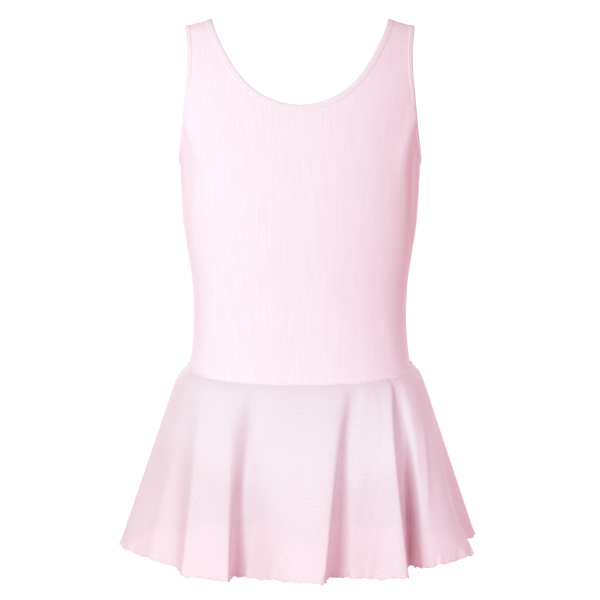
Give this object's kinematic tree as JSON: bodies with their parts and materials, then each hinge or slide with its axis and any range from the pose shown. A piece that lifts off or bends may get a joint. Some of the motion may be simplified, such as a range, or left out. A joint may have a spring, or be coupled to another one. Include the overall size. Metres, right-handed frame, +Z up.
{
  "type": "skirted leotard",
  "caption": "Child's sleeveless tank ballet leotard with a scoop neck, bound openings and a short sheer flared skirt sewn to its waist seam.",
  "frame": {"origin": "between the wearer's shoulders, level with the crest of the straps, where the garment is carried", "axes": "+Z up, the front of the garment faces -Y, +X is the wearer's left"},
  "size_m": [0.3187, 0.2838, 0.4736],
  "materials": {
    "jersey": "matte cotton and elastane jersey, fine vertical wales",
    "georgette": "semi-sheer crepe georgette, soft matte",
    "binding": "folded jersey binding, matte"
  },
  "bodies": {
    "root": {"bodice_front": "jersey", "bodice_back": "jersey", "brief_front": "jersey", "brief_back": "jersey", "skirt_front": "georgette", "skirt_back": "georgette", "neck_binding": "binding", "armhole_binding_left": "binding", "armhole_binding_right": "binding", "leg_binding_left": "binding", "leg_binding_right": "binding"}
  },
  "joints": []
}
